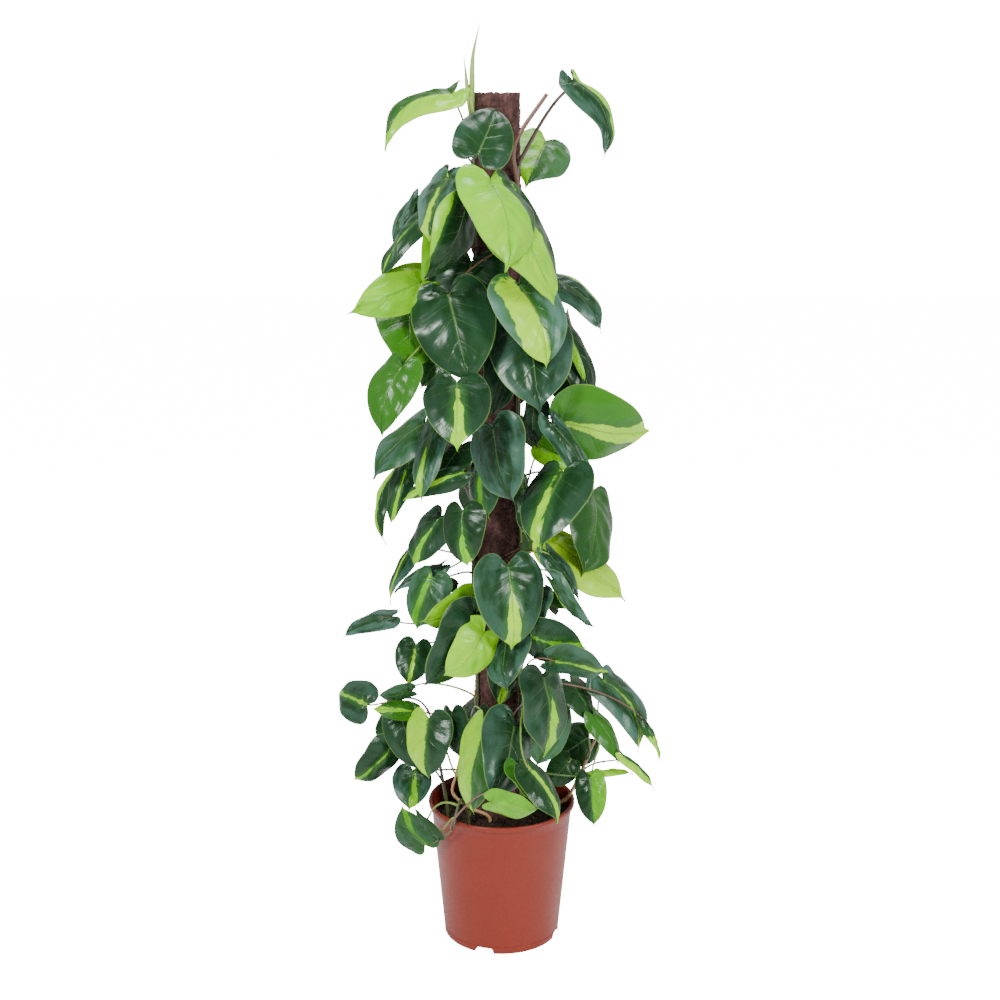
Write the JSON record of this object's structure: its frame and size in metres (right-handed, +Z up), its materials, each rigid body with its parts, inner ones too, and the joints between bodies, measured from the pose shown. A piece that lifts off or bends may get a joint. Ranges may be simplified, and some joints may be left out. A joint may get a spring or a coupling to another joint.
{
  "type": "potted brasil philodendron on a coir pole",
  "caption": "Brasil philodendron with lime and dark green heart leaves, climbing a coir pole in a terracotta plastic nursery pot.",
  "frame": {"origin": "on the ground under the middle of the pot, at the centre of the pad the pot stands on", "axes": "+Z up along the pole, -Y towards the side that faces the viewer, +X to that viewer's right"},
  "size_m": [0.4156, 0.3823, 1.1534],
  "materials": {
    "pot_plastic": "smooth moulded terracotta-coloured polypropylene with a satin shine",
    "soil": "damp dark peat with bark crumbs",
    "pole_core": "raw round softwood",
    "coir": "matted brown coconut fibre",
    "foliage": "glossy dark green leaves with lime bands, brown to pale stalks"
  },
  "bodies": {
    "root": {"pot": "pot_plastic", "potting_soil": "soil", "pole_core": "pole_core", "pole_sleeve": "coir", "vine_front_left": "foliage", "vine_front_right": "foliage", "vine_right": "foliage", "vine_left": "foliage", "vine_back": "foliage", "shoot_right": "foliage", "shoot_front_left": "foliage", "shoot_left": "foliage", "shoot_over_rim": "foliage"}
  },
  "joints": []
}
